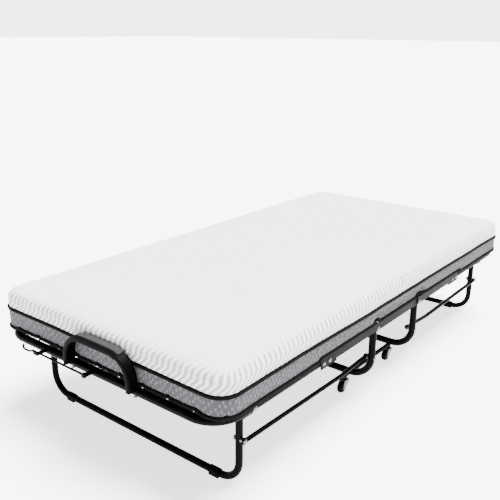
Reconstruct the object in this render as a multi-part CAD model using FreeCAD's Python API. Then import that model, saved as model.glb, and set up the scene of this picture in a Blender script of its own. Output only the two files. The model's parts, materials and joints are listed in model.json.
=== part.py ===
import FreeCAD, Part
import math
import os

# Rollaway bed, unfolded.  Millimetres, +Z up, origin on the floor under the
# middle of the bed.  +X points to the head end, +Y to the sleeper's left.
# Most parts are drawn for the foot end (-X) and mirrored for the head end.

V = FreeCAD.Vector

# ---- overall sizes ----
mattress_length = 1905.0
mattress_width = 965.0
mattress_thickness = 127.0
pivot_height = 274.0        # deck hinges and leg pivots above the floor
deck_width = 957.0          # over the outer faces of the side rails

# ---- mattress ----
mattress_corner = 60.0
mattress_top_edge = 20.0
mattress_bottom_edge = 12.0
mattress_lift = 1.0         # mattress underside above the side rails
fold_gap = 8.0              # from each folded mattress half to the middle plane
fold_reach = 35.0           # the mattress is split this far outside the hinge

# ---- deck frame ----
frame_tube = 25.0
frame_wall = 1.5
frame_corner = 90.0
end_clearance = 6.0         # mattress end to the end tube's centre
angle_thick = 3.0
angle_height = 27.0
splice_tab = 8.0            # extra depth of the angle at the splice
angle_flange = 22.0
angle_past_hinge = 14.0
hinge_bar_width = 50.0
hinge_bar_start = 17.0      # outside the hinge axis
crossbar_width = 25.0
bar_thick = 3.0
weld_bite = 0.3             # bars and wires let into the tubes they lie on
crossbar_spacing = 133.0
splice_overlap = 65.0
splice_clearance = 4.0

# ---- wire mesh ----
wire = 4.0
wire_bite = 1.0             # depth of the welds where wires cross
mesh_inset = 2.0            # last cross wire inside the end tube's centre
mesh_margin = 79.0          # last long wire inside the side tube's centre
mesh_columns = 9
mesh_rows_outer = 5
mesh_rows_inner = 2

# ---- base ----
u_tube = 25.0
u_wall = 1.5
u_corner = 80.0
u_bar_z = 79.0
u_past_pivot = 14.0
strap_thick = 3.5
strap_height = 28.0
strap_below_pivot = 12.0
caster_bar = 16.0
caster_bar_wall = 1.5
caster_bar_inset = 97.0     # caster bar inside the U frame's upright, centre to centre
caster_bar_past = 35.0      # bar end outside the U frame's centre
caster_past = 7.0           # caster stem outside the U frame's centre

# ---- end legs ----
leg_inset = 138.5           # leg to end tube, centre to centre
leg_tube = 22.0
leg_wall = 1.5
leg_corner = 70.0
leg_past_pivot = 10.0
foot_clip_inset = 89.0      # clip inside the leg's upright, centre to centre
foot_clip_length = 35.0
foot_clip_wall = 2.0
foot_clip_side = 0.9        # wall on the clip's flat sides
bracket_thick = 3.0
bracket_drop = 34.0         # bracket's lower edge below the pivot
bracket_rise = 10.0

# ---- links ----
link_tube = 14.0
link_drop = 117.0           # link pivots below the deck pivots
link_dip = 9.0              # the link bends down this far
link_dip_place = 165.0      # from the deck hinge
link_corner = 90.0
link_eye = 20.0
link_eye_thick = 5.0

# ---- clearances between moving layers, outside to inside ----
hinge_gap = 0.5             # side rail to centre strap
link_gap = 1.5              # link to frame tubes
leg_gap = 1.0               # leg to link
washer_gap = 0.3
running_fit = 0.08          # radial, pins that turn
open_fit = 0.5              # radial, the opened link pivot

# ---- fasteners ----
bolt = 8.0
bolt_head = 14.0
bolt_head_height = 3.5
nut_across = 13.0
nut_height = 5.5

# ---- casters ----
wheel = 42.0
wheel_width = 18.0
wheel_side_gap = 1.2
fork_thick = 2.0
trail = 18.0
axle = 6.0
stem = 8.0
stem_in_bar = 9.0
socket_height = 5.0
socket_diameter = 18.0
swivel_gap = 0.6

# ---- retainer arches ----
retainer_depth = 36.0
retainer_thick = 16.0
retainer_half_width = 145.0
retainer_rise = 104.0       # outer top above the frame tube
retainer_y = -30.0          # middle of the arch
retainer_corner = 76.0      # centre line
retainer_edge = 5.0
retainer_overhang = 37.0    # outer face beyond the end tube's centre
retainer_foot = 5.0         # feet reach this far down the end tube
sleeve_thick = 2.0
sleeve_turn = 25.0          # degrees of corner that the sleeve covers
retainer_bolt = 6.0
retainer_bolt_inset = 6.5   # outside the end tube's centre

# ---- storage lock ----
lock_rod = 7.0
lock_y = 5.0
lock_rise = 9.0             # above the deck pivots
lock_stud_reach = 4.0       # stud's root from the end tube's centre
lock_clearance = 1.5        # rod to sleeve
lock_clip_y = 235.0
lock_clip_width = 20.0
lock_clip_thick = 3.0
lock_eye = 17.0
lock_eye_thick = 5.0
hook_gap = 0.6
hook_run = 22.0
hook_bend = 30.0

# ---- places that follow ----
frame_top = pivot_height + frame_tube / 2
bar_bottom = frame_top - weld_bite
bar_top = bar_bottom + bar_thick
angle_top = bar_top + wire
mattress_bottom = angle_top + mattress_lift
mattress_top = mattress_bottom + mattress_thickness
hinge_x = mattress_top - pivot_height + fold_gap
split_x = hinge_x + fold_reach

rail_outer_y = deck_width / 2
angle_inner_y = rail_outer_y - angle_thick
frame_y = angle_inner_y - frame_tube / 2
frame_inner_y = frame_y - frame_tube / 2
mesh_pitch_y = 2 * (frame_y - mesh_margin) / (mesh_columns - 1)
strap_outer_y = angle_inner_y - hinge_gap
u_outer_y = strap_outer_y - strap_thick
u_y = u_outer_y - u_tube / 2
caster_bar_y = u_y - caster_bar_inset
link_y = min(frame_inner_y, u_y - u_tube / 2) - link_gap - link_tube / 2
leg_y = link_y - link_tube / 2 - leg_gap - leg_tube / 2
foot_clip_y = leg_y - foot_clip_inset

end_x = mattress_length / 2 + end_clearance
leg_x = end_x - leg_inset
leg_bar_z = leg_tube / 2 + foot_clip_wall
crossbar_outer_x = leg_x - (pivot_height - leg_bar_z)
crossbar_inner_x = crossbar_outer_x - crossbar_spacing
frame_end_x = crossbar_inner_x + crossbar_width / 2 + splice_clearance
angle_outer_x = frame_end_x + splice_overlap
angle_inner_x = hinge_x - angle_past_hinge
hinge_bar_x = hinge_x + hinge_bar_start
link_z = pivot_height - link_drop

caster_bar_z = u_bar_z - u_tube / 2 - caster_bar / 2
caster_x = hinge_x + caster_past
socket_bottom = caster_bar_z - caster_bar / 2 - socket_height
hood_top = socket_bottom - swivel_gap

retainer_outer_x = end_x + retainer_overhang
retainer_x = retainer_outer_x - retainer_depth / 2
retainer_half = retainer_half_width - retainer_thick / 2
retainer_top = frame_top + retainer_rise - retainer_thick / 2
retainer_bolt_x = end_x + retainer_bolt_inset
retainer_sides = (retainer_y - retainer_half, retainer_y + retainer_half)
rod_x = retainer_outer_x + sleeve_thick + lock_clearance + lock_rod / 2
rod_z = pivot_height + lock_rise
lock_span = 2 * (hinge_x - lock_rise)


def box(x0, x1, y0, y1, z0, z1):
    return Part.makeBox(x1 - x0, y1 - y0, z1 - z0, V(x0, y0, z0))


def rod(start, end, diameter):
    direction = end.sub(start)
    return Part.makeCylinder(diameter / 2, direction.Length, start, direction)


def across(x, z, y0, y1, diameter):
    # a cylinder along Y between y0 and y1
    low = min(y0, y1)
    high = max(y0, y1)
    return rod(V(x, low, z), V(x, high, z), diameter)


def hexagon(x, z, y0, y1, flats):
    radius = flats / math.sqrt(3)
    points = []
    for i in range(7):
        turn = math.radians(60 * i + 30)
        points.append(V(x + radius * math.cos(turn), y0, z + radius * math.sin(turn)))
    return Part.Face(Part.makePolygon(points)).extrude(V(0, y1 - y0, 0))


def dome(x, z, y, side, diameter, height):
    # a low round head on the plane y, bulging to the given side
    ball = (diameter * diameter / 4 + height * height) / (2 * height)
    sphere = Part.makeSphere(ball, V(x, y + side * (height - ball), z))
    return sphere.common(across(x, z, y, y + side * height, diameter))


def fuse(shapes):
    return shapes[0].multiFuse(shapes[1:]).removeSplitter()


def group(shapes):
    return Part.makeCompound(shapes)


def bend_edges(points, radius):
    # straight runs joined by tangent arcs of one radius
    edges = []
    start = points[0]
    for i in range(1, len(points) - 1):
        into = points[i].sub(points[i - 1]).normalize()
        out = points[i + 1].sub(points[i]).normalize()
        turn = into.getAngle(out)
        reach = radius * math.tan(turn / 2)
        first = points[i].sub(V(into).multiply(reach))
        last = points[i].add(V(out).multiply(reach))
        inward = V(out).sub(into).normalize()
        centre = points[i].add(V(inward).multiply(radius / math.cos(turn / 2)))
        middle = centre.sub(V(inward).multiply(radius))
        if first.sub(start).Length > 0.001:
            edges.append(Part.LineSegment(start, first).toShape())
        edges.append(Part.Arc(first, middle, last).toShape())
        start = last
    edges.append(Part.LineSegment(start, points[-1]).toShape())
    return edges


def sweep(points, radius, diameter):
    direction = points[1].sub(points[0])
    circle = Part.Wire(Part.makeCircle(diameter / 2, points[0], direction))
    path = Part.Wire(bend_edges(points, radius))
    return path.makePipeShell([circle], True, False)


def bent_tube(points, radius, diameter, wall):
    return sweep(points, radius, diameter).cut(sweep(points, radius, diameter - 2 * wall))


def mirror_x(shape):
    return shape.mirror(V(0, 0, 0), V(1, 0, 0))


def mirror_y(shape):
    return shape.mirror(V(0, 0, 0), V(0, 1, 0))


def both_sides(shape):
    return [shape, mirror_y(shape)]


# ---- mattress ----

def mattress():
    half_x = mattress_length / 2
    half_y = mattress_width / 2
    block = box(-half_x, half_x, -half_y, half_y, mattress_bottom, mattress_top)
    upright = [e for e in block.Edges if abs(e.tangentAt(e.FirstParameter).z) > 0.9]
    block = block.makeFillet(mattress_corner, upright)
    top = [e for e in block.Edges if e.BoundBox.ZMin > mattress_top - 0.01]
    block = block.makeFillet(mattress_top_edge, top)
    bottom = [e for e in block.Edges if e.BoundBox.ZMax < mattress_bottom + 0.01]
    return block.makeFillet(mattress_bottom_edge, bottom)


def mattress_slice(x0, x1):
    return mattress().common(box(x0, x1, -deck_width, deck_width, 0, 2 * mattress_top))


# ---- deck, foot end ----

def frame_path():
    z = pivot_height
    return [V(-frame_end_x, -frame_y, z), V(-end_x, -frame_y, z),
            V(-end_x, frame_y, z), V(-frame_end_x, frame_y, z)]


def frame_body():
    return sweep(frame_path(), frame_corner, frame_tube)


def splice_places():
    return [frame_end_x + 0.25 * splice_overlap, frame_end_x + 0.75 * splice_overlap]


def frame_tube_part():
    tube = bent_tube(frame_path(), frame_corner, frame_tube, frame_wall)
    for side in (-1, 1):
        for x in splice_places():
            tube = tube.cut(across(-x, pivot_height, side * frame_y, side * rail_outer_y, bolt))
        tube = tube.cut(across(-leg_x, pivot_height, side * (frame_inner_y - 1),
                               side * (rail_outer_y + 1), bolt))
    for y in retainer_sides:
        tube = tube.cut(rod(V(-retainer_bolt_x, y, pivot_height - frame_tube),
                            V(-retainer_bolt_x, y, frame_top + 1), retainer_bolt))
    return tube


def side_rail():
    # angle steel: a tall outer face, and a flange under the mattress
    top = angle_top
    face = box(-angle_outer_x, -angle_inner_x, -rail_outer_y, -angle_inner_y,
               top - angle_height, top)
    flange = box(-(frame_end_x - 1), -(hinge_bar_x + 4), -angle_inner_y,
                 -(angle_inner_y - angle_flange), top - angle_thick, top)
    tab = box(-angle_outer_x, -frame_end_x + splice_overlap / 3, -rail_outer_y, -angle_inner_y,
              top - angle_height - splice_tab, top - angle_height)
    rail = fuse([face, flange, tab])
    rail = rail.cut(across(-hinge_x, pivot_height, -rail_outer_y - 1, -angle_inner_y + 1,
                           bolt + 2 * running_fit))
    for x in splice_places():
        rail = rail.cut(across(-x, pivot_height, -rail_outer_y - 1, -angle_inner_y + 1, bolt))
    return rail


def crossbar_outer():
    bar = box(-crossbar_outer_x - crossbar_width / 2, -crossbar_outer_x + crossbar_width / 2,
              -frame_y - frame_tube / 4, frame_y + frame_tube / 4, bar_bottom, bar_top)
    return bar.cut(frame_body())


def crossbar_inner():
    return box(-crossbar_inner_x - crossbar_width / 2, -crossbar_inner_x + crossbar_width / 2,
               -angle_inner_y, angle_inner_y, bar_bottom, bar_top)


def hinge_bar():
    return box(-hinge_bar_x - hinge_bar_width, -hinge_bar_x, -angle_inner_y, angle_inner_y,
               bar_bottom, bar_top)


def cross_wire(x, half_width):
    z = bar_top - wire / 2 + wire_bite
    return rod(V(x, -half_width, z), V(x, half_width, z), wire)


def wire_panel(x0, x1, rows, half_width, inner_stop):
    # long wires lie on the bars, cross wires hang under them
    long_z = bar_top + wire / 2
    wires = []
    for i in range(mesh_columns):
        y = (i - (mesh_columns - 1) / 2) * mesh_pitch_y
        wires.append(rod(V(x0, y, long_z), V(x1, y, long_z), wire))
    pitch = (inner_stop - x0) / rows
    for i in range(1, rows):
        wires.append(cross_wire(x0 + i * pitch, half_width))
    return fuse(wires)


def mesh():
    outer_stop = -crossbar_outer_x - crossbar_width / 2
    outer = wire_panel(-end_x + mesh_inset, -crossbar_outer_x + crossbar_width / 4, mesh_rows_outer,
                       frame_y, outer_stop)
    # the first cross wire lies along the end tube
    last_y = (mesh_columns - 1) / 2 * mesh_pitch_y + wire
    outer = fuse([outer, cross_wire(-end_x + mesh_inset, last_y)]).cut(frame_body())
    inner_start = -crossbar_inner_x - crossbar_width / 4
    inner = wire_panel(inner_start, -hinge_bar_x - hinge_bar_width / 3, mesh_rows_inner,
                       angle_inner_y, -hinge_bar_x - hinge_bar_width)
    return group([outer, inner])


def splice_bolts():
    bolts = []
    for side in (-1, 1):
        for x in splice_places():
            shank = across(-x, pivot_height, side * (frame_y + 4), side * rail_outer_y, bolt)
            head = dome(-x, pivot_height, side * rail_outer_y, side, bolt_head, bolt_head_height)
            bolts.append(fuse([shank, head]))
    return group(bolts)


def leg_bracket():
    # a stepped plate on the inner face of the rail, around the leg's pivot
    low = pivot_height - bracket_drop
    step = low + 8
    top = pivot_height + bracket_rise
    outline = [V(-leg_x - 24, 0, top), V(-leg_x - 24, 0, low), V(-leg_x + 22, 0, low),
               V(-leg_x + 22, 0, step), V(-leg_x + 44, 0, step), V(-leg_x + 44, 0, top),
               V(-leg_x - 24, 0, top)]
    plate = Part.Face(Part.makePolygon(outline)).extrude(V(0, bracket_thick, 0))
    plate.translate(V(0, -frame_inner_y, 0))
    hole = across(-leg_x, pivot_height, -frame_inner_y - 1, -link_y, bolt)
    return plate.cut(hole)


def leg_pivot_bolt():
    inner = leg_y - leg_tube / 2 - washer_gap
    head_y = frame_y + frame_tube / 2
    shank = across(-leg_x, pivot_height, -head_y, -inner + nut_height, bolt)
    head = dome(-leg_x, pivot_height, -head_y, -1, bolt_head, bolt_head_height)
    seat = across(-leg_x, pivot_height, -head_y, -head_y + 3, bolt_head)
    seat = seat.cut(rod(V(-leg_x - 40, -frame_y, pivot_height), V(-leg_x + 40, -frame_y, pivot_height),
                        frame_tube))
    spacer = across(-leg_x, pivot_height, -frame_inner_y + bracket_thick,
                    -leg_y - leg_tube / 2 - washer_gap, 2 * bolt)
    nut = hexagon(-leg_x, pivot_height, -inner, -inner + nut_height, nut_across)
    return fuse([shank, head, seat, spacer, nut])


def retainer_path(lift):
    right, left = retainer_sides
    return [V(-retainer_x, right, lift), V(-retainer_x, right, retainer_top),
            V(-retainer_x, left, retainer_top), V(-retainer_x, left, lift)]


def rounded_section(y, z, depth, thick, edge):
    # a rounded rectangle lying in a level plane, depth along X
    plate = box(-retainer_x - depth / 2, -retainer_x + depth / 2, y - thick / 2, y + thick / 2,
                z, z + 1)
    corners = [e for e in plate.Edges if abs(e.tangentAt(e.FirstParameter).z) > 0.9]
    plate = plate.makeFillet(edge, corners)
    flat = [f for f in plate.Faces if f.BoundBox.ZMax < z + 0.01]
    return flat[0].OuterWire


def arch(depth, thick, edge):
    low = frame_top - retainer_foot
    path = Part.Wire(bend_edges(retainer_path(low), retainer_corner))
    section = rounded_section(retainer_sides[0], low, depth, thick, edge)
    return path.makePipeShell([section], True, False)


def retainer():
    body = arch(retainer_depth, retainer_thick, retainer_edge).cut(frame_body())
    for y in retainer_sides:
        body = body.cut(rod(V(-retainer_bolt_x, y, pivot_height),
                            V(-retainer_bolt_x, y, frame_top + 20), retainer_bolt))
    return body


def retainer_bolts():
    bolts = []
    under = pivot_height - frame_tube / 2
    for y in retainer_sides:
        shank = rod(V(-retainer_bolt_x, y, under), V(-retainer_bolt_x, y, frame_top + 20),
                    retainer_bolt)
        head = rod(V(-retainer_bolt_x, y, under - 3), V(-retainer_bolt_x, y, under), 11.0)
        bolts.append(fuse([shank, head]))
    return group(bolts)


def retainer_sleeve():
    # cloth strap wrapped round the top of the arch
    full = arch(retainer_depth + 2 * sleeve_thick, retainer_thick + 2 * sleeve_thick,
                retainer_edge + sleeve_thick)
    full = full.cut(arch(retainer_depth, retainer_thick, retainer_edge))
    right = retainer_sides[0] + retainer_corner
    left = retainer_sides[1] - retainer_corner
    low = retainer_top - retainer_corner
    high = low + 2 * retainer_half_width
    spread = (high - low) * math.tan(math.radians(sleeve_turn))
    outline = [V(0, right, low), V(0, left, low), V(0, left + spread, high),
               V(0, right - spread, high), V(0, right, low)]
    wedge = Part.Face(Part.makePolygon(outline)).extrude(V(-2 * retainer_x, 0, 0))
    return full.common(wedge)


# ---- storage lock ----

def lock_pivot():
    # a stud welded to the end tube, with the rod's eye under its head
    outer = -rod_x - lock_rod / 2 - washer_gap
    shoulder = -rod_x + lock_rod / 2 + washer_gap
    root = V(-end_x - lock_stud_reach, lock_y, rod_z)
    spacer = rod(root, V(shoulder, lock_y, rod_z), bolt_head).cut(frame_body())
    shank = rod(V(shoulder, lock_y, rod_z), V(outer, lock_y, rod_z), bolt)
    head = rod(V(outer, lock_y, rod_z), V(outer - 3, lock_y, rod_z), bolt_head)
    return fuse([shank, spacer, head])


def lock_stud():
    # the head end's catch: the same bolt and spacer, without the rod
    return mirror_x(lock_pivot())


def lock_clip():
    # a shelf on the end tube with an upturned lip outside the rod
    y0 = lock_clip_y - lock_clip_width / 2
    y1 = lock_clip_y + lock_clip_width / 2
    top = rod_z - lock_rod / 2 - hook_gap
    outer = -rod_x - lock_rod / 2 - hook_gap
    shelf = box(outer - lock_clip_thick, -end_x - lock_stud_reach, y0, y1, top - lock_clip_thick, top)
    lip = box(outer - lock_clip_thick, outer, y0, y1, top - lock_clip_thick, rod_z + 2)
    return fuse([shelf.cut(frame_body()), lip])


def round_catch(catch, radius, degrees):
    turn = math.radians(degrees)
    return catch.add(V(0, radius * math.cos(turn), radius * math.sin(turn)))


def hook():
    # a J that passes under the catch and curls up round its far side
    wrap = bolt / 2 + hook_gap + lock_rod / 2
    catch = V(-rod_x, lock_y + lock_span, rod_z)
    low = catch.add(V(0, 0, -wrap))
    before = V(-rod_x, catch.y - hook_run, rod_z - wrap)
    bend = V(-rod_x, catch.y - 2 * hook_run, rod_z)
    start = V(-rod_x, lock_y, rod_z)
    run = bend_edges([start, bend, before, low], hook_bend)
    run.append(Part.Arc(low, round_catch(catch, wrap, -15), round_catch(catch, wrap, 60)).toShape())
    path = Part.Wire(run)
    circle = Part.Wire(Part.makeCircle(lock_rod / 2, start, V(0, 1, 0)))
    return path.makePipeShell([circle], True, False)


def lock_rod_part():
    half = lock_eye_thick / 2
    eye = rod(V(-rod_x - half, lock_y, rod_z), V(-rod_x + half, lock_y, rod_z), lock_eye)
    body = fuse([hook(), eye])
    hole = rod(V(-rod_x - lock_rod, lock_y, rod_z), V(-rod_x + lock_rod, lock_y, rod_z),
               bolt + 2 * running_fit)
    return body.cut(hole)


# ---- base ----

def u_path(x):
    top = pivot_height + u_past_pivot
    return [V(x, -u_y, top), V(x, -u_y, u_bar_z), V(x, u_y, u_bar_z), V(x, u_y, top)]


def u_frame():
    frame = bent_tube(u_path(-hinge_x), u_corner, u_tube, u_wall)
    for z in (pivot_height, link_z):
        frame = frame.cut(across(-hinge_x, z, -rail_outer_y, rail_outer_y, bolt))
    return frame


def centre_strap():
    low = pivot_height - strap_below_pivot
    half = hinge_x + strap_below_pivot
    strap = box(-half, half, -strap_outer_y, -u_outer_y, low, low + strap_height)
    for x in (-hinge_x, hinge_x):
        strap = strap.cut(across(x, pivot_height, -rail_outer_y, -u_y, bolt))
    return strap


def deck_pivot_bolts():
    bolts = []
    head_y = rail_outer_y + washer_gap
    for x in (-hinge_x, hinge_x):
        shank = across(x, pivot_height, -head_y, -(u_y - u_tube / 2), bolt)
        head = dome(x, pivot_height, -head_y, -1, bolt_head, bolt_head_height)
        bolts.extend(both_sides(fuse([shank, head])))
    return group(bolts)


def link_pivot_bolts():
    bolts = []
    inner = link_y - link_eye_thick / 2 - washer_gap
    for x in (-hinge_x, hinge_x):
        shank = across(x, link_z, -u_outer_y, -inner + nut_height, bolt)
        head = dome(x, link_z, -u_outer_y, -1, bolt_head, bolt_head_height)
        spacer = across(x, link_z, -u_y, -(link_y + link_eye_thick / 2 + washer_gap), 2 * bolt)
        spacer = spacer.cut(sweep(u_path(x), u_corner, u_tube))
        nut = hexagon(x, link_z, -inner, -inner + nut_height, nut_across)
        bolts.extend(both_sides(fuse([shank, head, spacer, nut])))
    return group(bolts)


def caster_bar_part():
    half = hinge_x + caster_bar_past
    start = V(-half, -caster_bar_y, caster_bar_z)
    end = V(half, -caster_bar_y, caster_bar_z)
    bar = rod(start, end, caster_bar).cut(rod(start, end, caster_bar - 2 * caster_bar_wall))
    for x in (-caster_x, caster_x):
        bar = bar.cut(caster_socket_body(x))
    return bar


def caster_socket_body(x):
    return rod(V(x, -caster_bar_y, socket_bottom),
               V(x, -caster_bar_y, caster_bar_z + caster_bar / 2 - 2), socket_diameter - 6)


def caster_sockets():
    sockets = []
    for x in (-caster_x, caster_x):
        collar = rod(V(x, -caster_bar_y, socket_bottom), V(x, -caster_bar_y, caster_bar_z),
                     socket_diameter)
        collar = collar.cut(rod(V(x - 30, -caster_bar_y, caster_bar_z),
                                V(x + 30, -caster_bar_y, caster_bar_z), caster_bar))
        socket = fuse([collar, caster_socket_body(x)])
        hole = rod(V(x, -caster_bar_y, socket_bottom - 1),
                   V(x, -caster_bar_y, socket_bottom + stem_in_bar + 1), stem + 2 * running_fit)
        sockets.extend(both_sides(socket.cut(hole)))
    return group(sockets)


# ---- end leg, foot end ----

def leg_path():
    top = pivot_height + leg_past_pivot
    return [V(-leg_x, -leg_y, top), V(-leg_x, -leg_y, leg_bar_z),
            V(-leg_x, leg_y, leg_bar_z), V(-leg_x, leg_y, top)]


def leg():
    tube = bent_tube(leg_path(), leg_corner, leg_tube, leg_wall)
    tube = tube.cut(across(-leg_x, pivot_height, -frame_y, frame_y, bolt + 2 * running_fit))
    return tube.cut(across(-leg_x, link_z, -frame_y, frame_y, bolt))


def foot_clips():
    # plastic feet snapped round the floor bar, with a flat sole
    clips = []
    for side in (-1, 1):
        y0 = side * foot_clip_y - foot_clip_length / 2
        y1 = side * foot_clip_y + foot_clip_length / 2
        ring = across(-leg_x, leg_bar_z, y0, y1, leg_tube + 2 * foot_clip_wall)
        flat = leg_tube / 2 + foot_clip_side
        ring = ring.common(box(-leg_x - flat, -leg_x + flat, y0, y1, 0, 2 * leg_bar_z))
        sole = box(-leg_x - leg_tube / 2, -leg_x + leg_tube / 2, y0, y1, 0, leg_bar_z / 2)
        rib = box(-leg_x - 4, -leg_x + 4, y0, y1, leg_bar_z,
                  leg_bar_z + leg_tube / 2 + 2 * foot_clip_wall)
        clip = fuse([ring, sole, rib])
        clips.append(clip.cut(across(-leg_x, leg_bar_z, y0 - 1, y1 + 1, leg_tube)))
    return group(clips)


def leg_link_bolts():
    head_y = link_y + link_eye_thick / 2 + washer_gap
    inner = leg_y - leg_tube / 2
    shank = across(-leg_x, link_z, -head_y, -inner + nut_height, bolt)
    head = dome(-leg_x, link_z, -head_y, -1, bolt_head, bolt_head_height)
    spacer = across(-leg_x, link_z, -(link_y - link_eye_thick / 2 - washer_gap), -leg_y, 2 * bolt)
    spacer = spacer.cut(rod(V(-leg_x, -leg_y, link_z - 20), V(-leg_x, -leg_y, link_z + 20), leg_tube))
    nut = hexagon(-leg_x, link_z, -inner, -inner + nut_height, nut_across)
    return group(both_sides(fuse([shank, head, spacer, nut])))


# ---- link, foot end ----

def link():
    inset = link_eye / 2 + 6
    start = V(-leg_x + inset, -link_y, link_z)
    end = V(-hinge_x - inset, -link_y, link_z)
    low = V(-hinge_x - link_dip_place, -link_y, link_z - link_dip)
    pieces = [sweep([start, low, end], link_corner, link_tube)]
    for x, toward in ((-leg_x, 1), (-hinge_x, -1)):
        y0 = -link_y - link_eye_thick / 2
        y1 = y0 + link_eye_thick
        pieces.append(across(x, link_z, y0, y1, link_eye))
        near = min(x, x + toward * (inset + 8))
        far = max(x, x + toward * (inset + 8))
        pieces.append(box(near, far, y0, y1, link_z - link_tube / 2, link_z + link_tube / 2))
    body = fuse(pieces)
    body = body.cut(across(-leg_x, link_z, -link_y - 20, -link_y + 20, bolt + 2 * open_fit))
    return body.cut(across(-hinge_x, link_z, -link_y - 20, -link_y + 20, bolt + 2 * running_fit))


# ---- caster, drawn round its swivel axis at x = 0, y = 0 ----

def fork():
    axle_z = wheel / 2
    half = wheel_width / 2 + wheel_side_gap
    pieces = []
    for side in (-1, 1):
        inner = side * half
        outer = side * (half + fork_thick)
        y0 = min(inner, outer)
        outline = [V(-trail - 7, y0, axle_z), V(-trail - 1, y0, hood_top - 6),
                   V(-trail + 2, y0, hood_top), V(14, y0, hood_top), V(14, y0, hood_top - 8),
                   V(-trail + 6, y0, axle_z - 3), V(-trail - 7, y0, axle_z)]
        pieces.append(Part.Face(Part.makePolygon(outline)).extrude(V(0, fork_thick, 0)))
        pieces.append(across(-trail, axle_z, y0, y0 + fork_thick, 14.0))
        cap = dome(-trail, axle_z, outer, side, 10.0, 2.0)
        pieces.append(cap)
    pieces.append(across(-trail, axle_z, -half - fork_thick, half + fork_thick, axle))
    pieces.append(box(-trail + 2, 14, -half - fork_thick, half + fork_thick,
                      hood_top - fork_thick, hood_top))
    pieces.append(rod(V(0, 0, hood_top - fork_thick), V(0, 0, socket_bottom + stem_in_bar), stem))
    return fuse(pieces)


def wheel_part():
    radius = wheel / 2
    half = wheel_width / 2
    shoulder = 4.0
    outline = [V(0, -half, 5), V(0, -half, radius - shoulder), V(0, -half + shoulder, radius),
               V(0, half - shoulder, radius), V(0, half, radius - shoulder), V(0, half, 5)]
    hub = axle / 2 + running_fit
    points = [V(0, -half - 0.7, hub), V(0, -half - 0.7, 6.5), V(0, -half, 6.5)]
    points = points + outline[1:5] + [V(0, half, 6.5), V(0, half + 0.7, 6.5), V(0, half + 0.7, hub)]
    points.append(points[0])
    body = Part.Face(Part.makePolygon(points)).revolve(V(0, 0, 0), V(0, 1, 0), 360)
    body.translate(V(-trail, 0, radius))
    return body


# ---- write every node ----

def save(name, shape):
    shape.exportStep("parts/" + name + ".step")


def save_ends(name, shape):
    save("foot_" + name, shape)
    save("head_" + name, mirror_x(shape))


def main():
    os.makedirs("parts", exist_ok=True)

    save_ends("mattress", mattress_slice(-mattress_length, -split_x))
    save("mattress_centre", mattress_slice(-split_x, split_x))

    save_ends("frame_tube", frame_tube_part())
    save_ends("side_rail_right", side_rail())
    save_ends("side_rail_left", mirror_y(side_rail()))
    save_ends("crossbars", group([crossbar_outer(), crossbar_inner()]))
    save_ends("hinge_bar", hinge_bar())
    save_ends("wire_mesh", mesh())
    save_ends("splice_bolts", splice_bolts())
    save_ends("leg_brackets", group(both_sides(leg_bracket())))
    save_ends("leg_pivot_bolts", group(both_sides(leg_pivot_bolt())))
    save_ends("retainer", retainer())
    save_ends("retainer_bolts", retainer_bolts())
    save_ends("retainer_sleeve", retainer_sleeve())

    save("lock_pivot", lock_pivot())
    save("lock_stud", lock_stud())
    save("lock_clip", lock_clip())
    save("lock_rod", lock_rod_part())

    save_ends("u_frame", u_frame())
    save("centre_strap_right", centre_strap())
    save("centre_strap_left", mirror_y(centre_strap()))
    save("deck_pivot_bolts", deck_pivot_bolts())
    save("link_pivot_bolts", link_pivot_bolts())
    save("caster_bar_right", caster_bar_part())
    save("caster_bar_left", mirror_y(caster_bar_part()))
    save("caster_sockets", caster_sockets())

    save_ends("leg", leg())
    save_ends("foot_clips", foot_clips())
    save_ends("leg_link_bolts", leg_link_bolts())
    save_ends("link_right", link())
    save_ends("link_left", mirror_y(link()))

    for end, x in (("foot", -caster_x), ("head", caster_x)):
        for side, y in (("right", -caster_bar_y), ("left", caster_bar_y)):
            for name, shape in (("fork", fork()), ("wheel", wheel_part())):
                shape.translate(V(x, y, 0))
                save(end + "_" + side + "_" + name, shape)


main()
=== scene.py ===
import bpy
import bmesh
import json
import math
from mathutils import Matrix, Vector, noise


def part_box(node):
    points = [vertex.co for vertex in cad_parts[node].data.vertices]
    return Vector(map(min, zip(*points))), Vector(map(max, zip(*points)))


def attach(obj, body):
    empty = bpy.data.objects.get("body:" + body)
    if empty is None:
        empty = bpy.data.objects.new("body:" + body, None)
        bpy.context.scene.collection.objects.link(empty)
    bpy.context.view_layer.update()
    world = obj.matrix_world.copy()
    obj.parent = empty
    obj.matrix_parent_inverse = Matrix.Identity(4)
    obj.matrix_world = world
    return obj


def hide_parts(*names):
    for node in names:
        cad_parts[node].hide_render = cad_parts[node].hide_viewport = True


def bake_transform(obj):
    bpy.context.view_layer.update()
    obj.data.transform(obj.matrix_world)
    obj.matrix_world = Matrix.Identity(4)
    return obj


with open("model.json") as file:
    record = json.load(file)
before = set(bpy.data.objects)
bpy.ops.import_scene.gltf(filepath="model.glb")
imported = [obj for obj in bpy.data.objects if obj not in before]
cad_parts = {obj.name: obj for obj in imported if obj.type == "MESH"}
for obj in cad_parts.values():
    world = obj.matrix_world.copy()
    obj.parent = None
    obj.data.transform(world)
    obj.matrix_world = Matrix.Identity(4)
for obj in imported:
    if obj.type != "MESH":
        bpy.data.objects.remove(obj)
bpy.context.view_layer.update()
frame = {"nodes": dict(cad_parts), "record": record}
print("frame loaded:", len(frame["nodes"]), "nodes")


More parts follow.
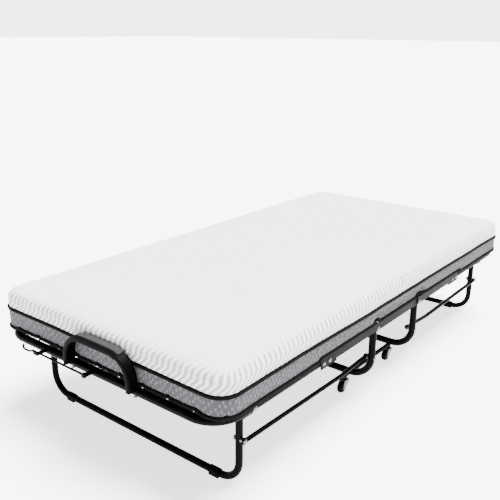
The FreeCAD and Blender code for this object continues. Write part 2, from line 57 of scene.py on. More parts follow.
# camera, floor and light
view = {
    "place": (-2.075, -1.456, 1.230),
    "forward": (0.7431, 0.5941, -0.3080),
    "roll": 0.39,               # degrees
    "lens": 49.19,
    "floorColor": (0.93, 0.93, 0.93, 1),
    "floorGlow": 2.4,
    "skyColor": (1.0, 1.0, 1.0, 1),
    "skyStrength": 0.3,
    "horizonStrength": 4.6,
    "sunPower": 20.0,
    "sunSpread": 36.0,          # degrees, soft shadows
    "sunFrom": (0.28, -0.16, 1.0),
    "floorReach": 80,           # half its width, metres
    "sidePlace": (0.6, -3.6, 1.5),
    "sideTarget": (0, 0, 0.3),
    "sideSize": 1.8,
    "sidePower": 12,
}


def aimCamera():
    data = bpy.data.cameras.new("bedCamera")
    data.lens = view["lens"]
    data.sensor_width = 36
    camera = bpy.data.objects.new("bedCamera", data)
    bpy.context.scene.collection.objects.link(camera)
    forward = Vector(view["forward"]).normalized()
    right = forward.cross(Vector((0, 0, 1))).normalized()
    up = right.cross(forward)
    turned = Matrix((right, up, -forward)).transposed().to_4x4()
    turned = turned @ Matrix.Rotation(math.radians(view["roll"]), 4, "Z")
    camera.matrix_world = Matrix.Translation(view["place"]) @ turned
    bpy.context.scene.camera = camera


def addAreaLight(name, place, target, size, power):
    data = bpy.data.lights.new(name, "AREA")
    data.shape = "DISK"
    data.size = size
    data.energy = power
    light = bpy.data.objects.new(name, data)
    bpy.context.scene.collection.objects.link(light)
    aim = Vector(target) - Vector(place)
    light.matrix_world = Matrix.Translation(place) @ aim.to_track_quat("-Z", "Y").to_matrix().to_4x4()


def setStage():
    world = bpy.data.worlds.new("studioSky")
    bpy.context.scene.world = world
    world.use_nodes = True
    # as bright as the floor at the horizon, and dimmer above
    tree = world.node_tree
    sky = tree.nodes["Background"]
    sky.inputs["Color"].default_value = view["skyColor"]
    toward = tree.nodes.new("ShaderNodeTexCoord")
    split = tree.nodes.new("ShaderNodeSeparateXYZ")
    fade = tree.nodes.new("ShaderNodeMapRange")
    fade.inputs["From Min"].default_value = 0.05
    fade.inputs["From Max"].default_value = 0.20
    fade.inputs["To Min"].default_value = view["horizonStrength"]
    fade.inputs["To Max"].default_value = view["skyStrength"]
    tree.links.new(toward.outputs["Generated"], split.inputs[0])
    tree.links.new(split.outputs["Z"], fade.inputs["Value"])
    tree.links.new(fade.outputs["Result"], sky.inputs["Strength"])
    mesh = bmesh.new()
    bmesh.ops.create_grid(mesh, x_segments=1, y_segments=1, size=view["floorReach"])
    data = bpy.data.meshes.new("floor")
    mesh.to_mesh(data)
    mesh.free()
    floor = bpy.data.objects.new("floor", data)
    bpy.context.scene.collection.objects.link(floor)
    paint = bpy.data.materials.new("paleFloor")
    paint.use_nodes = True
    shader = paint.node_tree.nodes["Principled BSDF"]
    shader.inputs["Base Color"].default_value = view["floorColor"]
    shader.inputs["Roughness"].default_value = 0.9
    shader.inputs["Specular IOR Level"].default_value = 0.1
    shader.inputs["Emission Color"].default_value = view["floorColor"]
    shader.inputs["Emission Strength"].default_value = view["floorGlow"]
    data.materials.append(paint)
    sun = bpy.data.objects.new("overheadLight", bpy.data.lights.new("overheadLight", "SUN"))
    sun.data.energy = view["sunPower"]
    sun.data.angle = math.radians(view["sunSpread"])
    sun.matrix_world = Vector(view["sunFrom"]).to_track_quat("Z", "Y").to_matrix().to_4x4()
    bpy.context.scene.collection.objects.link(sun)
    addAreaLight("sideLight", view["sidePlace"], view["sideTarget"], view["sideSize"], view["sidePower"])


aimCamera()
setStage()


# shader helpers, and effects shared as node groups
def addNode(tree, kind, values=None, **settings):
    node = tree.nodes.new(kind)
    for name, value in settings.items():
        setattr(node, name, value)
    for socket, value in (values or {}).items():
        if isinstance(value, bpy.types.NodeSocket):
            tree.links.new(value, node.inputs[socket])
        else:
            node.inputs[socket].default_value = value
    return node


def calc(tree, operation, first, second=0.0):
    return addNode(tree, "ShaderNodeMath", {0: first, 1: second}, operation=operation).outputs[0]


def remap(tree, value, low, high, outLow=0.0, outHigh=1.0):
    ramp = addNode(tree, "ShaderNodeMapRange", {"Value": value, "From Min": low, "From Max": high,
                                                "To Min": outLow, "To Max": outHigh})
    return ramp.outputs["Result"]


def mixColor(tree, amount, first, second):
    mix = addNode(tree, "ShaderNodeMix", {"Factor": amount}, data_type="RGBA")
    for socket, value in ((mix.inputs[6], first), (mix.inputs[7], second)):
        if isinstance(value, bpy.types.NodeSocket):
            tree.links.new(value, socket)
        else:
            socket.default_value = value
    return mix.outputs[2]


def startGroup(name, inputs, outputs):
    group = bpy.data.node_groups.new(name, "ShaderNodeTree")
    for label, kind, value in inputs:
        socket = group.interface.new_socket(label, in_out="INPUT", socket_type=kind)
        socket.default_value = value
    for label in outputs:
        group.interface.new_socket(label, in_out="OUTPUT", socket_type="NodeSocketFloat")
    return group, group.nodes.new("NodeGroupInput"), group.nodes.new("NodeGroupOutput")


def makeEdgeWear():
    # 1 on rubbed edges, broken up by noise
    group, start, end = startGroup("edgeWear", [("Radius", "NodeSocketFloat", 0.0012),
                                                ("Amount", "NodeSocketFloat", 0.5)], ["Mask"])
    rounded = addNode(group, "ShaderNodeBevel", {"Radius": start.outputs["Radius"]}, samples=6)
    flat = addNode(group, "ShaderNodeNewGeometry")
    dot = addNode(group, "ShaderNodeVectorMath", {0: rounded.outputs[0], 1: flat.outputs["Normal"]},
                  operation="DOT_PRODUCT").outputs["Value"]
    edge = remap(group, dot, 0.98, 0.82)
    place = addNode(group, "ShaderNodeTexCoord").outputs["Object"]
    patch = addNode(group, "ShaderNodeTexNoise", {"Vector": place, "Scale": 46.0, "Detail": 5.0})
    worn = calc(group, "MULTIPLY", edge, remap(group, patch.outputs["Fac"], 0.48, 0.66))
    group.links.new(calc(group, "MULTIPLY", worn, start.outputs["Amount"]), end.inputs["Mask"])
    return group


def makePaintGrain():
    # fine orange peel, and slow changes in gloss
    group, start, end = startGroup("paintGrain", [("Scale", "NodeSocketFloat", 900.0)],
                                   ["Height", "Gloss"])
    place = addNode(group, "ShaderNodeTexCoord").outputs["Object"]
    fine = addNode(group, "ShaderNodeTexNoise", {"Vector": place, "Scale": start.outputs["Scale"],
                                                 "Detail": 2.0, "Roughness": 0.6})
    slow = addNode(group, "ShaderNodeTexNoise", {"Vector": place, "Scale": 22.0, "Detail": 4.0})
    group.links.new(fine.outputs["Fac"], end.inputs["Height"])
    group.links.new(slow.outputs["Fac"], end.inputs["Gloss"])
    return group


def makeSettledDust():
    # a little dust on faces that look up
    group, start, end = startGroup("settledDust", [("Amount", "NodeSocketFloat", 0.15)], ["Mask"])
    coords = addNode(group, "ShaderNodeTexCoord")
    up = addNode(group, "ShaderNodeSeparateXYZ", {0: coords.outputs["Normal"]}).outputs["Z"]
    speckle = addNode(group, "ShaderNodeTexNoise", {"Vector": coords.outputs["Object"],
                                                    "Scale": 60.0, "Detail": 6.0})
    dusty = calc(group, "MULTIPLY", remap(group, up, 0.3, 1.0),
                 remap(group, speckle.outputs["Fac"], 0.45, 0.75))
    group.links.new(calc(group, "MULTIPLY", dusty, start.outputs["Amount"]), end.inputs["Mask"])
    return group


def makeKnitLoops():
    # rows of small interlocking loops
    group, start, end = startGroup("knitLoops", [("Vector", "NodeSocketVector", (0, 0, 0)),
                                                 ("Pitch", "NodeSocketFloat", 0.0022)], ["Height"])
    split = addNode(group, "ShaderNodeSeparateXYZ", {0: start.outputs["Vector"]})
    turn = calc(group, "DIVIDE", 2 * math.pi, start.outputs["Pitch"])
    across = calc(group, "MULTIPLY", split.outputs["X"], turn)
    along = calc(group, "MULTIPLY", split.outputs["Y"], turn)
    lean = calc(group, "MULTIPLY", calc(group, "SINE", across), 1.2)
    loops = calc(group, "SINE", calc(group, "ADD", calc(group, "MULTIPLY", along, 1.3), lean))
    wales = calc(group, "ABSOLUTE", calc(group, "SINE", calc(group, "MULTIPLY", across, 0.5)))
    both = calc(group, "MULTIPLY", remap(group, loops, -1.0, 1.0), wales)
    group.links.new(both, end.inputs["Height"])
    return group


def makeQuiltWaves():
    # embossed knit: fine diamonds on top, slanting ripples down the sides
    group, start, end = startGroup("quiltWaves", [("Vector", "NodeSocketVector", (0, 0, 0)),
                                                  ("Edge", "NodeSocketVector", (0, 0, 0)),
                                                  ("Side", "NodeSocketFloat", 0.0)], ["Height"])
    top = addNode(group, "ShaderNodeSeparateXYZ", {0: start.outputs["Vector"]})
    diagonals = []
    for sign in (1.0, -1.0):
        run = calc(group, "ADD", top.outputs["X"], calc(group, "MULTIPLY", top.outputs["Y"], 0.8 * sign))
        diagonals.append(calc(group, "SINE", calc(group, "MULTIPLY", run, 2 * math.pi / 0.030)))
    diamonds = calc(group, "MULTIPLY", diagonals[0], diagonals[1])
    edge = addNode(group, "ShaderNodeSeparateXYZ", {0: start.outputs["Edge"]})
    wobble = addNode(group, "ShaderNodeTexNoise", {"Vector": start.outputs["Edge"], "Scale": 14.0,
                                                   "Detail": 2.0}).outputs["Fac"]
    slant = calc(group, "ADD", calc(group, "MULTIPLY", edge.outputs["Y"], 0.55),
                 calc(group, "MULTIPLY", wobble, 0.012))
    sway = calc(group, "MULTIPLY", calc(group, "SINE", calc(group, "MULTIPLY", edge.outputs["Y"],
                                                            2 * math.pi / 0.046)), 0.0045)
    phase = calc(group, "ADD", calc(group, "ADD", edge.outputs["X"], slant), sway)
    ripples = calc(group, "SINE", calc(group, "MULTIPLY", phase, 2 * math.pi / 0.021))
    fade = calc(group, "MULTIPLY", diamonds, remap(group, start.outputs["Side"], 0.0, 1.0, 0.55, 0.15))
    strong = calc(group, "MULTIPLY", ripples, start.outputs["Side"])
    group.links.new(calc(group, "ADD", fade, strong), end.inputs["Height"])
    return group


def makeLeafFlecks():
    # light leaf shapes knitted into the grey band
    group, start, end = startGroup("leafFlecks", [("Vector", "NodeSocketVector", (0, 0, 0))],
                                   ["Mask"])
    turned = addNode(group, "ShaderNodeMapping", {"Vector": start.outputs["Vector"],
                                                  "Rotation": (0, 0, math.radians(32)),
                                                  "Scale": (84.0, 52.0, 1.0)})
    cells = addNode(group, "ShaderNodeTexVoronoi", {"Vector": turned.outputs[0], "Scale": 1.0,
                                                    "Randomness": 0.45},
                    voronoi_dimensions="2D")
    leaf = remap(group, cells.outputs["Distance"], 0.36, 0.20)
    thread = addNode(group, "ShaderNodeTexNoise", {"Vector": start.outputs["Vector"],
                                                   "Scale": 420.0, "Detail": 2.0})
    group.links.new(calc(group, "MULTIPLY", leaf, remap(group, thread.outputs["Fac"], 0.3, 0.6, 0.5, 1.0)),
                    end.inputs["Mask"])
    return group


effects = {
    "edgeWear": makeEdgeWear(),
    "paintGrain": makePaintGrain(),
    "settledDust": makeSettledDust(),
    "knitLoops": makeKnitLoops(),
    "quiltWaves": makeQuiltWaves(),
    "leafFlecks": makeLeafFlecks(),
}


def useEffect(tree, name, values=None):
    node = addNode(tree, "ShaderNodeGroup", None, node_tree=effects[name])
    for socket, value in (values or {}).items():
        if isinstance(value, bpy.types.NodeSocket):
            tree.links.new(value, node.inputs[socket])
        else:
            node.inputs[socket].default_value = value
    return node.outputs


def startMaterial(name, **sockets):
    material = bpy.data.materials.new(name)
    material.use_nodes = True
    shader = material.node_tree.nodes["Principled BSDF"]
    for label, value in sockets.items():
        shader.inputs[label.replace("_", " ")].default_value = value
    return material, material.node_tree, shader


def bumpFrom(tree, shader, height, distance, strength=1.0):
    bump = addNode(tree, "ShaderNodeBump", {"Height": height, "Distance": distance,
                                            "Strength": strength})
    tree.links.new(bump.outputs["Normal"], shader.inputs["Normal"])


# painted steel and moulded parts: wear shows the rub color, dust lies on faces that look up
finishes = {
    "blackSteel": {"color": (0.0008, 0.0008, 0.0009, 1), "rub": (0.008, 0.008, 0.0085, 1),
                   "gloss": (0.30, 0.42), "grain": 900.0, "peel": 0.00012, "wear": 0.45, "dust": 0.10},
    "blackWire": {"color": (0.0008, 0.0008, 0.0009, 1), "rub": (0.008, 0.008, 0.008, 1),
                  "gloss": (0.34, 0.48), "grain": 1200.0, "peel": 0.0001, "wear": 0.3, "dust": 0.14},
    "mouldedBlack": {"color": (0.0008, 0.0008, 0.0009, 1), "rub": (0.005, 0.005, 0.0052, 1),
                     "gloss": (0.38, 0.52), "grain": 1600.0, "peel": 0.0002, "wear": 0.4, "dust": 0.12},
    "wheelBlack": {"color": (0.0007, 0.0007, 0.0008, 1), "rub": (0.005, 0.005, 0.005, 1),
                   "gloss": (0.22, 0.40), "grain": 700.0, "peel": 0.0001, "wear": 0.6, "dust": 0.2},
}


def makeHardBlack(name, finish):
    material, tree, shader = startMaterial(name, IOR=1.5, Specular_IOR_Level=0.012,
                                           Coat_Roughness=0.2)
    grain = useEffect(tree, "paintGrain", {"Scale": finish["grain"]})
    worn = useEffect(tree, "edgeWear", {"Amount": finish["wear"]})["Mask"]
    dust = useEffect(tree, "settledDust", {"Amount": finish["dust"]})["Mask"]
    color = mixColor(tree, worn, finish["color"], finish["rub"])
    color = mixColor(tree, dust, color, (0.03, 0.03, 0.03, 1))
    tree.links.new(color, shader.inputs["Base Color"])
    low, high = finish["gloss"]
    rough = remap(tree, grain["Gloss"], 0.3, 0.7, low, high)
    tree.links.new(calc(tree, "ADD", rough, calc(tree, "MULTIPLY", dust, 0.6)),
                   shader.inputs["Roughness"])
    tree.links.new(remap(tree, worn, 0.0, 1.0, 0.015, 0.0), shader.inputs["Coat Weight"])
    bumpFrom(tree, shader, grain["Height"], finish["peel"])
    return material


def makeZinc():
    # bright plating with faint draw lines and duller hollows
    material, tree, shader = startMaterial("brightZinc", IOR=1.8)
    coords = addNode(tree, "ShaderNodeTexCoord")
    drawn = addNode(tree, "ShaderNodeMapping", {"Vector": coords.outputs["Object"],
                                                "Scale": (240.0, 240.0, 1800.0)})
    lines = addNode(tree, "ShaderNodeTexNoise", {"Vector": drawn.outputs[0], "Scale": 1.0,
                                                 "Detail": 3.0})
    spangle = addNode(tree, "ShaderNodeTexVoronoi", {"Vector": coords.outputs["Object"],
                                                     "Scale": 260.0})
    tone = remap(tree, spangle.outputs["Distance"], 0.0, 0.8)
    color = mixColor(tree, tone, (0.16, 0.165, 0.17, 1), (0.08, 0.083, 0.088, 1))
    tree.links.new(color, shader.inputs["Base Color"])
    shader.inputs["Metallic"].default_value = 1.0
    tree.links.new(remap(tree, lines.outputs["Fac"], 0.3, 0.7, 0.18, 0.38),
                   shader.inputs["Roughness"])
    bumpFrom(tree, shader, lines.outputs["Fac"], 0.00008)
    return material


# fabrics: the mattress cover's knits and the black binding tape
fabrics = {
    "whitePaintedShade": (0.30, 0.30, 0.31, 1),       # painted shade for the hollows of the ripples and diamonds
    "whiteLight": (0.84, 0.84, 0.84, 1),
    "whitePlain": (0.86, 0.86, 0.86, 1),
    "whitePitch": 0.0024,                      # knit loops, metres
    "whiteRelief": 0.0014,
    "bandDark": (0.040, 0.040, 0.044, 1),
    "bandLight": (0.105, 0.105, 0.114, 1),
    "strapDark": (0.012, 0.012, 0.013, 1),
    "strapLight": (0.022, 0.022, 0.024, 1),
    "greyPitch": 0.0026,
    "greyRelief": 0.0012,
    "bindingDark": (0.0010, 0.0010, 0.0012, 1),
    "bindingLight": (0.0026, 0.0026, 0.0028, 1),
    "bindingRelief": 0.0004,
}


def makeWhiteKnit():
    material, tree, shader = startMaterial("whiteKnit", Sheen_Weight=0.1, Sheen_Roughness=0.4,
                                           Roughness=0.85, IOR=1.42)
    flat = addNode(tree, "ShaderNodeUVMap", uv_map="coverFlat").outputs["UV"]
    edge = addNode(tree, "ShaderNodeUVMap", uv_map="coverEdge").outputs["UV"]
    side = addNode(tree, "ShaderNodeAttribute", attribute_name="sideAmount").outputs["Fac"]
    quilt = useEffect(tree, "quiltWaves", {"Vector": flat, "Edge": edge, "Side": side})["Height"]
    loops = useEffect(tree, "knitLoops", {"Vector": flat, "Pitch": fabrics["whitePitch"]})["Height"]
    # the relief's height also sets the colour: painted shade in the hollows of the ripples and diamonds
    shade = remap(tree, quilt, -1.0, 1.0, 0.0, 1.0)
    color = mixColor(tree, shade, fabrics["whitePaintedShade"], fabrics["whiteLight"])
    plain = mixColor(tree, remap(tree, side, 0.0, 1.0, 0.45, 1.0), fabrics["whitePlain"], color)
    tree.links.new(plain, shader.inputs["Base Color"])
    height = calc(tree, "ADD", quilt, calc(tree, "MULTIPLY", loops, 0.16))
    bumpFrom(tree, shader, height, fabrics["whiteRelief"])
    return material


def makeGreyKnit(name, dark, light):
    material, tree, shader = startMaterial(name, Sheen_Weight=0.03, Sheen_Roughness=0.45,
                                           Roughness=0.88, IOR=1.42)
    edge = addNode(tree, "ShaderNodeUVMap", uv_map="coverEdge").outputs["UV"]
    flecks = useEffect(tree, "leafFlecks", {"Vector": edge})["Mask"]
    loops = useEffect(tree, "knitLoops", {"Vector": edge, "Pitch": fabrics["greyPitch"]})["Height"]
    melange = addNode(tree, "ShaderNodeTexNoise", {"Vector": edge, "Scale": 340.0, "Detail": 4.0})
    duller = tuple(0.78 * c for c in dark[:3]) + (1,)
    brighter = tuple(1.2 * c for c in dark[:3]) + (1,)
    base = mixColor(tree, remap(tree, melange.outputs["Fac"], 0.35, 0.65), duller, brighter)
    color = mixColor(tree, flecks, base, light)
    tree.links.new(color, shader.inputs["Base Color"])
    height = calc(tree, "ADD", calc(tree, "MULTIPLY", flecks, 0.8), calc(tree, "MULTIPLY", loops, 0.4))
    bumpFrom(tree, shader, height, fabrics["greyRelief"])
    return material


def makeBinding():
    # black tape with a fine rib
    material, tree, shader = startMaterial("blackBinding", Sheen_Weight=0.0, IOR=1.4,
                                           Specular_IOR_Level=0.04)
    coords = addNode(tree, "ShaderNodeTexCoord").outputs["Object"]
    rib = addNode(tree, "ShaderNodeTexWave", {"Vector": coords, "Scale": 260.0, "Distortion": 1.2,
                                              "Detail": 2.0}, bands_direction="DIAGONAL")
    fluff = addNode(tree, "ShaderNodeTexNoise", {"Vector": coords, "Scale": 500.0, "Detail": 3.0})
    color = mixColor(tree, rib.outputs["Fac"], fabrics["bindingDark"], fabrics["bindingLight"])
    tree.links.new(color, shader.inputs["Base Color"])
    tree.links.new(remap(tree, fluff.outputs["Fac"], 0.3, 0.7, 0.62, 0.85), shader.inputs["Roughness"])
    bumpFrom(tree, shader, rib.outputs["Fac"], fabrics["bindingRelief"])
    return material


slotFinish = {
    "black_steel": makeHardBlack("blackSteel", finishes["blackSteel"]),
    "black_wire": makeHardBlack("blackWire", finishes["blackWire"]),
    "black_plastic": makeHardBlack("mouldedBlack", finishes["mouldedBlack"]),
    "wheel_plastic": makeHardBlack("wheelBlack", finishes["wheelBlack"]),
    "zinc": makeZinc(),
}
whiteKnit = makeWhiteKnit()
greyKnit = makeGreyKnit("greyKnit", fabrics["bandDark"], fabrics["bandLight"])
strapKnit = makeGreyKnit("strapKnit", fabrics["strapDark"], fabrics["strapLight"])
blackBinding = makeBinding()

for subpart in frame["record"]["subparts"]:
    if subpart["material_slot"] in slotFinish:
        owner = frame["nodes"][subpart["node"]]
        owner.data.materials.clear()
        owner.data.materials.append(slotFinish[subpart["material_slot"]])
print("finishes set")


# the mattress: one soft pad, cut into a foot half and a head half
mattress = {
    "inset": 0.002,            # the pad swells back out by this much
    "corner": 0.060,
    "topEdge": 0.024,
    "bottomEdge": 0.006,
    "voxel": 0.010,
    "shift": -0.006,           # the pad lies this far towards the foot end
    "flatBelow": 0.030,        # the underside stays flat up to this height
    "pressure": 4.0,
    "cap": 0.0055,
    "frames": 20,
    "seamHeight": 0.058,       # seam above the underside
    "seamPull": 0.0012,
    "seamSpread": 0.012,       # the pull fades this far from the seam
    "bandSpread": 0.045,       # and the wander this far
    "ripple": 0.0016,          # unevenness of the sides
    "billow": 0.0016,          # and of the top
    "seamWave": 0.0035,
    "pipingRadius": 0.0064,
    "shadowCordHeight": 0.0065,      # a black cord this far above the underside, painted shadow along the bottom of the grey band
    "seamRise": 0.010,         # the seam climbs this much towards the sleeper's left
    "foldReach": 0.228,        # the fold's bend ends here
    "strapHalf": 0.4695,
    "strapReach": 0.205,       # the pad is narrower inside this
    "strapFade": 0.040,
    "strapDepth": 0.045,       # up to this high above the underside
    "sagDepth": 0.030,         # sagging fades out this far above the underside
    "strapSagReach": 0.146,
    "wireHold": 0.011,         # a wire holds the cover up this far to each side
    "sag": 0.0076,             # the underside's edge hangs this far over the tubes
    "strapSag": 0.0100,        # and this far inside the centre straps
    "wirePitch": 0.096,
    "wireReach": 0.392,        # no wires or end cross wire beyond this
    "railStart": 0.512,        # outside the side rails, where only the tube holds the edge
}

footLow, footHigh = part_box("foot_mattress")
headLow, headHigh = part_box("head_mattress")
padLow = Vector((footLow.x, footLow.y, footLow.z))
padHigh = Vector((headHigh.x, headHigh.y, headHigh.z))


def objectFrom(name, mesh, *materials):
    data = bpy.data.meshes.new(name)
    mesh.to_mesh(data)
    mesh.free()
    for material in materials:
        data.materials.append(material)
    made = bpy.data.objects.new(name, data)
    bpy.context.scene.collection.objects.link(made)
    return made


def applyModifiers(target):
    bpy.context.view_layer.update()
    evaluated = target.evaluated_get(bpy.context.evaluated_depsgraph_get())
    data = bpy.data.meshes.new_from_object(evaluated)
    target.modifiers.clear()
    target.data = data
    return target


def smoothStep(value):
    value = min(1.0, max(0.0, value))
    return value * value * (3 - 2 * value)


def startPad():
    mesh = bmesh.new()
    bmesh.ops.create_cube(mesh, size=1)
    size = padHigh - padLow
    inset = mattress["inset"]
    middle = (padHigh + padLow) / 2
    grown = Matrix.Diagonal((size.x - 2 * inset, size.y - 2 * inset, size.z - 2 * inset, 1))
    bmesh.ops.transform(mesh, matrix=Matrix.Translation(middle) @ grown, verts=mesh.verts)
    upright = [e for e in mesh.edges if abs(e.verts[0].co.z - e.verts[1].co.z) > 0.05]
    bmesh.ops.bevel(mesh, geom=upright, offset=mattress["corner"], segments=10, profile=0.5,
                    affect="EDGES", material=-1)
    for level, offset in ((padHigh.z, mattress["topEdge"]), (padLow.z, mattress["bottomEdge"])):
        atLevel = [e for e in mesh.edges if all(abs(v.co.z - level) < inset + 0.0001 for v in e.verts)]
        rim = [e for e in atLevel if e.calc_face_angle(0) > 1.0]
        bmesh.ops.bevel(mesh, geom=rim, offset=offset, segments=5, profile=0.5, affect="EDGES",
                        material=-1)
    return objectFrom("padStart", mesh)


def swellPad(pad):
    remesh = pad.modifiers.new("remesh", "REMESH")
    remesh.mode = "VOXEL"
    remesh.voxel_size = mattress["voxel"]
    applyModifiers(pad)
    before = [v.co.copy() for v in pad.data.vertices]
    cloth = pad.modifiers.new("swell", "CLOTH")
    cloth.settings.use_pressure = True
    cloth.settings.uniform_pressure_force = mattress["pressure"]
    cloth.settings.effector_weights.gravity = 0
    cloth.settings.tension_stiffness = 25
    cloth.settings.compression_stiffness = 25
    cloth.settings.bending_stiffness = 4
    cloth.point_cache.frame_start = 1
    cloth.point_cache.frame_end = mattress["frames"]
    for step in range(1, mattress["frames"] + 1):
        bpy.context.scene.frame_set(step)
    applyModifiers(pad)
    bpy.context.scene.frame_set(1)
    for vertex, start in zip(pad.data.vertices, before):
        move = vertex.co - start
        if move.length > mattress["cap"]:
            move = move.normalized() * mattress["cap"]
        if start.z < padLow.z + mattress["flatBelow"]:
            move.z = 0
        vertex.co = start + move
    low = [min(v.co[i] for v in pad.data.vertices) for i in range(3)]
    high = [max(v.co[i] for v in pad.data.vertices) for i in range(3)]
    for vertex in pad.data.vertices:
        for i in range(3):
            share = (vertex.co[i] - low[i]) / (high[i] - low[i])
            vertex.co[i] = padLow[i] + share * (padHigh[i] - padLow[i])
        vertex.co.x += mattress["shift"]
    smooth = pad.modifiers.new("smooth", "SUBSURF")
    smooth.levels = 1
    smooth.render_levels = 1
    return applyModifiers(pad)


def cutSeam(pad):
    # cut round the pad at the seam, so that the two cloths meet on clean edges
    mesh = bmesh.new()
    mesh.from_mesh(pad.data)
    level = padLow.z + mattress["seamHeight"]
    # a second cut low down, where a black cord of painted shadow runs under the grey band
    edge = padLow.z + mattress["shadowCordHeight"]
    cuts = (((0, 0, level), (0, 0, 1)), ((0, 0, edge), (0, 0, 1)), ((0, 0, 0), (1, 0, 0)))
    for place, way in cuts:
        bmesh.ops.bisect_plane(mesh, geom=mesh.verts[:] + mesh.edges[:] + mesh.faces[:],
                               plane_co=place, plane_no=way)
    for face in mesh.faces:
        face.smooth = True
        face.material_index = 0 if face.calc_center_median().z > level else 1
    onSeam = mesh.verts.layers.int.new("onSeam")
    for vertex in mesh.verts:
        vertex[onSeam] = 1 if abs(vertex.co.z - level) < 0.00002 else 0
        # 2 marks the line of the painted shadow cord
        if abs(vertex.co.z - edge) < 0.00002:
            vertex[onSeam] = 2
    return mesh, level


def edgeSag(place):
    # the cover's edge hangs over the tubes, and less where the wires hold it up
    low = smoothStep((padLow.z + mattress["sagDepth"] - place.z) / 0.024)
    endEdge = smoothStep((abs(place.x) - padHigh.x + 0.024) / 0.010)
    sideEdge = smoothStep((abs(place.y) - padHigh.y + 0.016) / 0.008)
    sideEdge *= smoothStep((abs(place.x) - mattress["railStart"]) / 0.02)
    pitch = mattress["wirePitch"]
    nearWire = abs((place.y / pitch + 0.5) % 1.0 - 0.5) * pitch
    overWire = 0.5 if abs(place.x) > padHigh.x + 0.001 else 1.0
    held = smoothStep(nearWire / mattress["wireHold"]) * overWire
    corner = smoothStep((abs(place.y) - mattress["wireReach"]) / 0.02)
    strap = smoothStep((mattress["strapSagReach"] - abs(place.x)) / 0.012)
    strap *= smoothStep((abs(place.y) - 0.450) / 0.012)
    return low * max(mattress["sag"] * max(endEdge * max(held, corner), sideEdge),
                     mattress["strapSag"] * strap)


def shapePad(mesh, level):
    # pull the seam in, let it wander a little, and keep clear of the steel round it
    core = Vector((padHigh.x - mattress["corner"], padHigh.y - mattress["corner"]))
    for vertex in mesh.verts:
        place = vertex.co
        inner = Vector((max(-core.x, min(core.x, place.x)), max(-core.y, min(core.y, place.y))))
        out = Vector((place.x - inner.x, place.y - inner.y))
        nearSeam = math.exp(-((place.z - level) / mattress["seamSpread"]) ** 2)
        nearBand = math.exp(-((place.z - level) / mattress["bandSpread"]) ** 2)
        if out.length > 0.02:
            pull = out.normalized() * (mattress["seamPull"] * nearSeam)
            ripple = noise.noise(Vector((place.x * 9, place.y * 9, place.z * 14))) * mattress["ripple"]
            place.x += -pull.x + out.normalized().x * ripple
            place.y += -pull.y + out.normalized().y * ripple
            wave = noise.noise(Vector((place.x * 3.1, place.y * 3.1, 4.7)))
            place.z += mattress["seamWave"] * wave * nearBand
            rise = (place.y - padLow.y) / (padHigh.y - padLow.y)
            place.z += mattress["seamRise"] * rise * nearBand
        soft = noise.noise(Vector((place.x * 2.3, place.y * 2.6, 1.3)))
        if place.z > level + 0.03:
            place.z += mattress["billow"] * soft
        place.x = max(padLow.x - 0.0066, min(padHigh.x - 0.0040, place.x))
        place.y = max(padLow.y - 0.002, min(padHigh.y + 0.002, place.y))
        place.z = max(padLow.z + 0.0004, place.z) - edgeSag(place)
        if abs(place.x) < mattress["strapReach"] and place.z < padLow.z + mattress["strapDepth"]:
            # narrower over the hinge straps
            near = smoothStep((mattress["strapReach"] - abs(place.x)) / mattress["strapFade"])
            low = smoothStep((padLow.z + mattress["strapDepth"] - place.z) / 0.015)
            limit = mattress["strapHalf"]
            if abs(place.y) > limit:
                excess = abs(place.y) - limit
                place.y -= math.copysign(excess * near * low, place.y)


def perimeterPlace(x, y, halfX, halfY, corner):
    # how far round the rounded outline a point lies
    coreX = halfX - corner
    coreY = halfY - corner
    if abs(x) > coreX and abs(y) > coreY:
        turn = math.atan2(abs(y) - coreY, abs(x) - coreX)
        place = coreY + corner * turn
    elif abs(x) - halfX > abs(y) - halfY:
        place = min(abs(y), coreY)
    else:
        place = coreY + corner * math.pi / 2 + (coreX - abs(x))
    return math.copysign(place, y) * math.copysign(1, x)


def mapCover(mesh):
    # one flat map for the top, and one that runs round the sides
    flat = mesh.loops.layers.uv.new("coverFlat")
    edge = mesh.loops.layers.uv.new("coverEdge")
    side = mesh.verts.layers.float.new("sideAmount")
    mesh.normal_update()
    for vertex in mesh.verts:
        steep = math.hypot(vertex.normal.x, vertex.normal.y)
        near = smoothStep((steep - 0.12) / 0.6)
        inward = min(padHigh.x - abs(vertex.co.x), padHigh.y - abs(vertex.co.y))
        vertex[side] = max(near, 0.5 * smoothStep((0.05 - inward) / 0.05))
    for face in mesh.faces:
        for loop in face.loops:
            place = loop.vert.co
            normal = loop.vert.normal
            drop = padHigh.z - place.z
            loop[flat].uv = (place.x + normal.x * drop, place.y + normal.y * drop)
            if face.normal.z < -0.8:
                loop[edge].uv = (place.x, place.y)
            else:
                around = perimeterPlace(place.x, place.y, padHigh.x, padHigh.y, mattress["corner"])
                loop[edge].uv = (around, drop)


def keepHalf(mesh, sign):
    half = mesh.copy()
    away = [v for v in half.verts if v.co.x * sign < -0.00001]
    bmesh.ops.delete(half, geom=away, context="VERTS")
    return half


def makePiping(name, half, seam):
    # a corded edge along one seam
    onSeam = half.verts.layers.int["onSeam"]
    wire = bmesh.new()
    made = {}
    for edge in half.edges:
        if edge.verts[0][onSeam] == seam and edge.verts[1][onSeam] == seam:
            for vertex in edge.verts:
                if vertex.index not in made:
                    made[vertex.index] = wire.verts.new(vertex.co)
            wire.edges.new([made[v.index] for v in edge.verts])
    cord = objectFrom(name, wire)
    for other in bpy.context.selected_objects:
        other.select_set(False)
    cord.select_set(True)
    bpy.context.view_layer.objects.active = cord
    bpy.ops.object.convert(target="CURVE")
    cord.data.bevel_depth = mattress["pipingRadius"]
    cord.data.bevel_resolution = 3
    cord.data.use_fill_caps = True
    bpy.ops.object.convert(target="MESH")
    for polygon in cord.data.polygons:
        polygon.use_smooth = True
    cord.data.materials.append(blackBinding)
    return cord


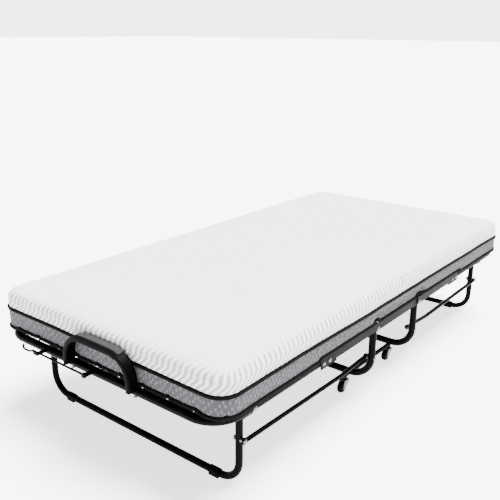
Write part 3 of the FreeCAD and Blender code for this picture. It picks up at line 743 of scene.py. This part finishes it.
def makeMattress():
    pad = swellPad(startPad())
    mesh, level = cutSeam(pad)
    shapePad(mesh, level)
    mapCover(mesh)
    for end, sign in (("foot", -1), ("head", 1)):
        half = keepHalf(mesh, sign)
        half.verts.index_update()
        piping = makePiping(end + "_mattress_piping", half, 1)
        # a black cord along the bottom edge: painted shadow under the grey band, not a real piping
        shadowCord = makePiping(end + "_mattress_painted_shadow_cord", half, 2)
        cover = objectFrom(end + "_mattress_cover", half, whiteKnit, greyKnit)
        for piece in (cover, piping, shadowCord):
            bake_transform(piece)
        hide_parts(end + "_mattress", "mattress_centre")
        print("mattress half made:", end, len(cover.data.polygons), "faces")
    mesh.free()
    bpy.data.objects.remove(pad)


makeMattress()


# cloth sleeves on the end arches
sleeve = {
    "thick": 0.002,
    "corner": 0.0075,
    "archThick": 0.016,
    "archCorner": 0.076,       # centre line of the arch's bend
    "covered": 25.0,           # degrees of each bend
    "bindingWidth": 0.011,
    "crease": 0.0007,
}


def makeSleeve(end, sign):
    low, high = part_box(end + "_retainer_sleeve")
    archLow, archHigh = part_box(end + "_retainer")
    depth = high.x - low.x
    thick = sleeve["archThick"] + 2 * sleeve["thick"]
    centreX = (low.x + high.x) / 2
    lineZ = archHigh.z - sleeve["archThick"] / 2
    bendZ = lineZ - sleeve["archCorner"]
    reach = sleeve["archThick"] / 2 + sleeve["archCorner"]
    rightY = archLow.y + reach
    leftY = archHigh.y - reach
    mesh = bmesh.new()
    bmesh.ops.create_grid(mesh, x_segments=1, y_segments=1, size=0.5)
    grown = Matrix.Diagonal((depth, thick, 1, 1))
    upright = Matrix.Rotation(math.radians(90), 4, "X")
    place = Matrix.Translation((centreX, rightY, lineZ)) @ upright @ grown
    bmesh.ops.transform(mesh, matrix=place, verts=mesh.verts)
    bmesh.ops.bevel(mesh, geom=mesh.verts[:], offset=sleeve["corner"], segments=4, profile=0.5,
                    affect="VERTICES", material=-1)
    turn = math.radians(sleeve["covered"])
    pivot = (centreX, rightY, bendZ)
    bmesh.ops.rotate(mesh, cent=pivot, matrix=Matrix.Rotation(turn, 3, "X"), verts=mesh.verts)
    bmesh.ops.spin(mesh, geom=mesh.faces[:], cent=pivot, axis=(1, 0, 0), angle=-turn, steps=6)
    ring = [f for f in mesh.faces if abs(f.normal.y) > 0.999]
    steps = 14
    for step in range(steps):
        grownOut = bmesh.ops.extrude_face_region(mesh, geom=ring)
        moved = [g for g in grownOut["geom"] if isinstance(g, bmesh.types.BMVert)]
        bmesh.ops.translate(mesh, vec=(0, (leftY - rightY) / steps, 0), verts=moved)
        bmesh.ops.delete(mesh, geom=ring, context="FACES_ONLY")
        ring = [g for g in grownOut["geom"] if isinstance(g, bmesh.types.BMFace)]
    bmesh.ops.spin(mesh, geom=ring, cent=(centreX, leftY, bendZ), axis=(1, 0, 0), angle=-turn,
                   steps=6)
    bmesh.ops.remove_doubles(mesh, verts=mesh.verts, dist=0.00005)
    bmesh.ops.recalc_face_normals(mesh, faces=mesh.faces)
    edge = mesh.loops.layers.uv.new("coverEdge")
    outer = centreX + sign * depth / 2
    for vertex in mesh.verts:
        crease = noise.noise(Vector((vertex.co.x * 60, vertex.co.y * 34, vertex.co.z * 60)))
        if vertex.co.z > bendZ:
            vertex.co.z += crease * sleeve["crease"]
    for face in mesh.faces:
        face.smooth = True
        bound = abs(face.calc_center_median().x - outer) < sleeve["bindingWidth"]
        face.material_index = 1 if bound else 0
        for loop in face.loops:
            loop[edge].uv = (loop.vert.co.y, loop.vert.co.x)
    made = objectFrom(end + "_arch_sleeve", mesh, strapKnit, blackBinding)
    finish = made.modifiers.new("soft", "SUBSURF")
    finish.levels = 1
    finish.render_levels = 1
    applyModifiers(made)
    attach(made, end + "_deck")
    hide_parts(end + "_retainer_sleeve")


makeSleeve("foot", -1)
makeSleeve("head", 1)
print("arch sleeves made")
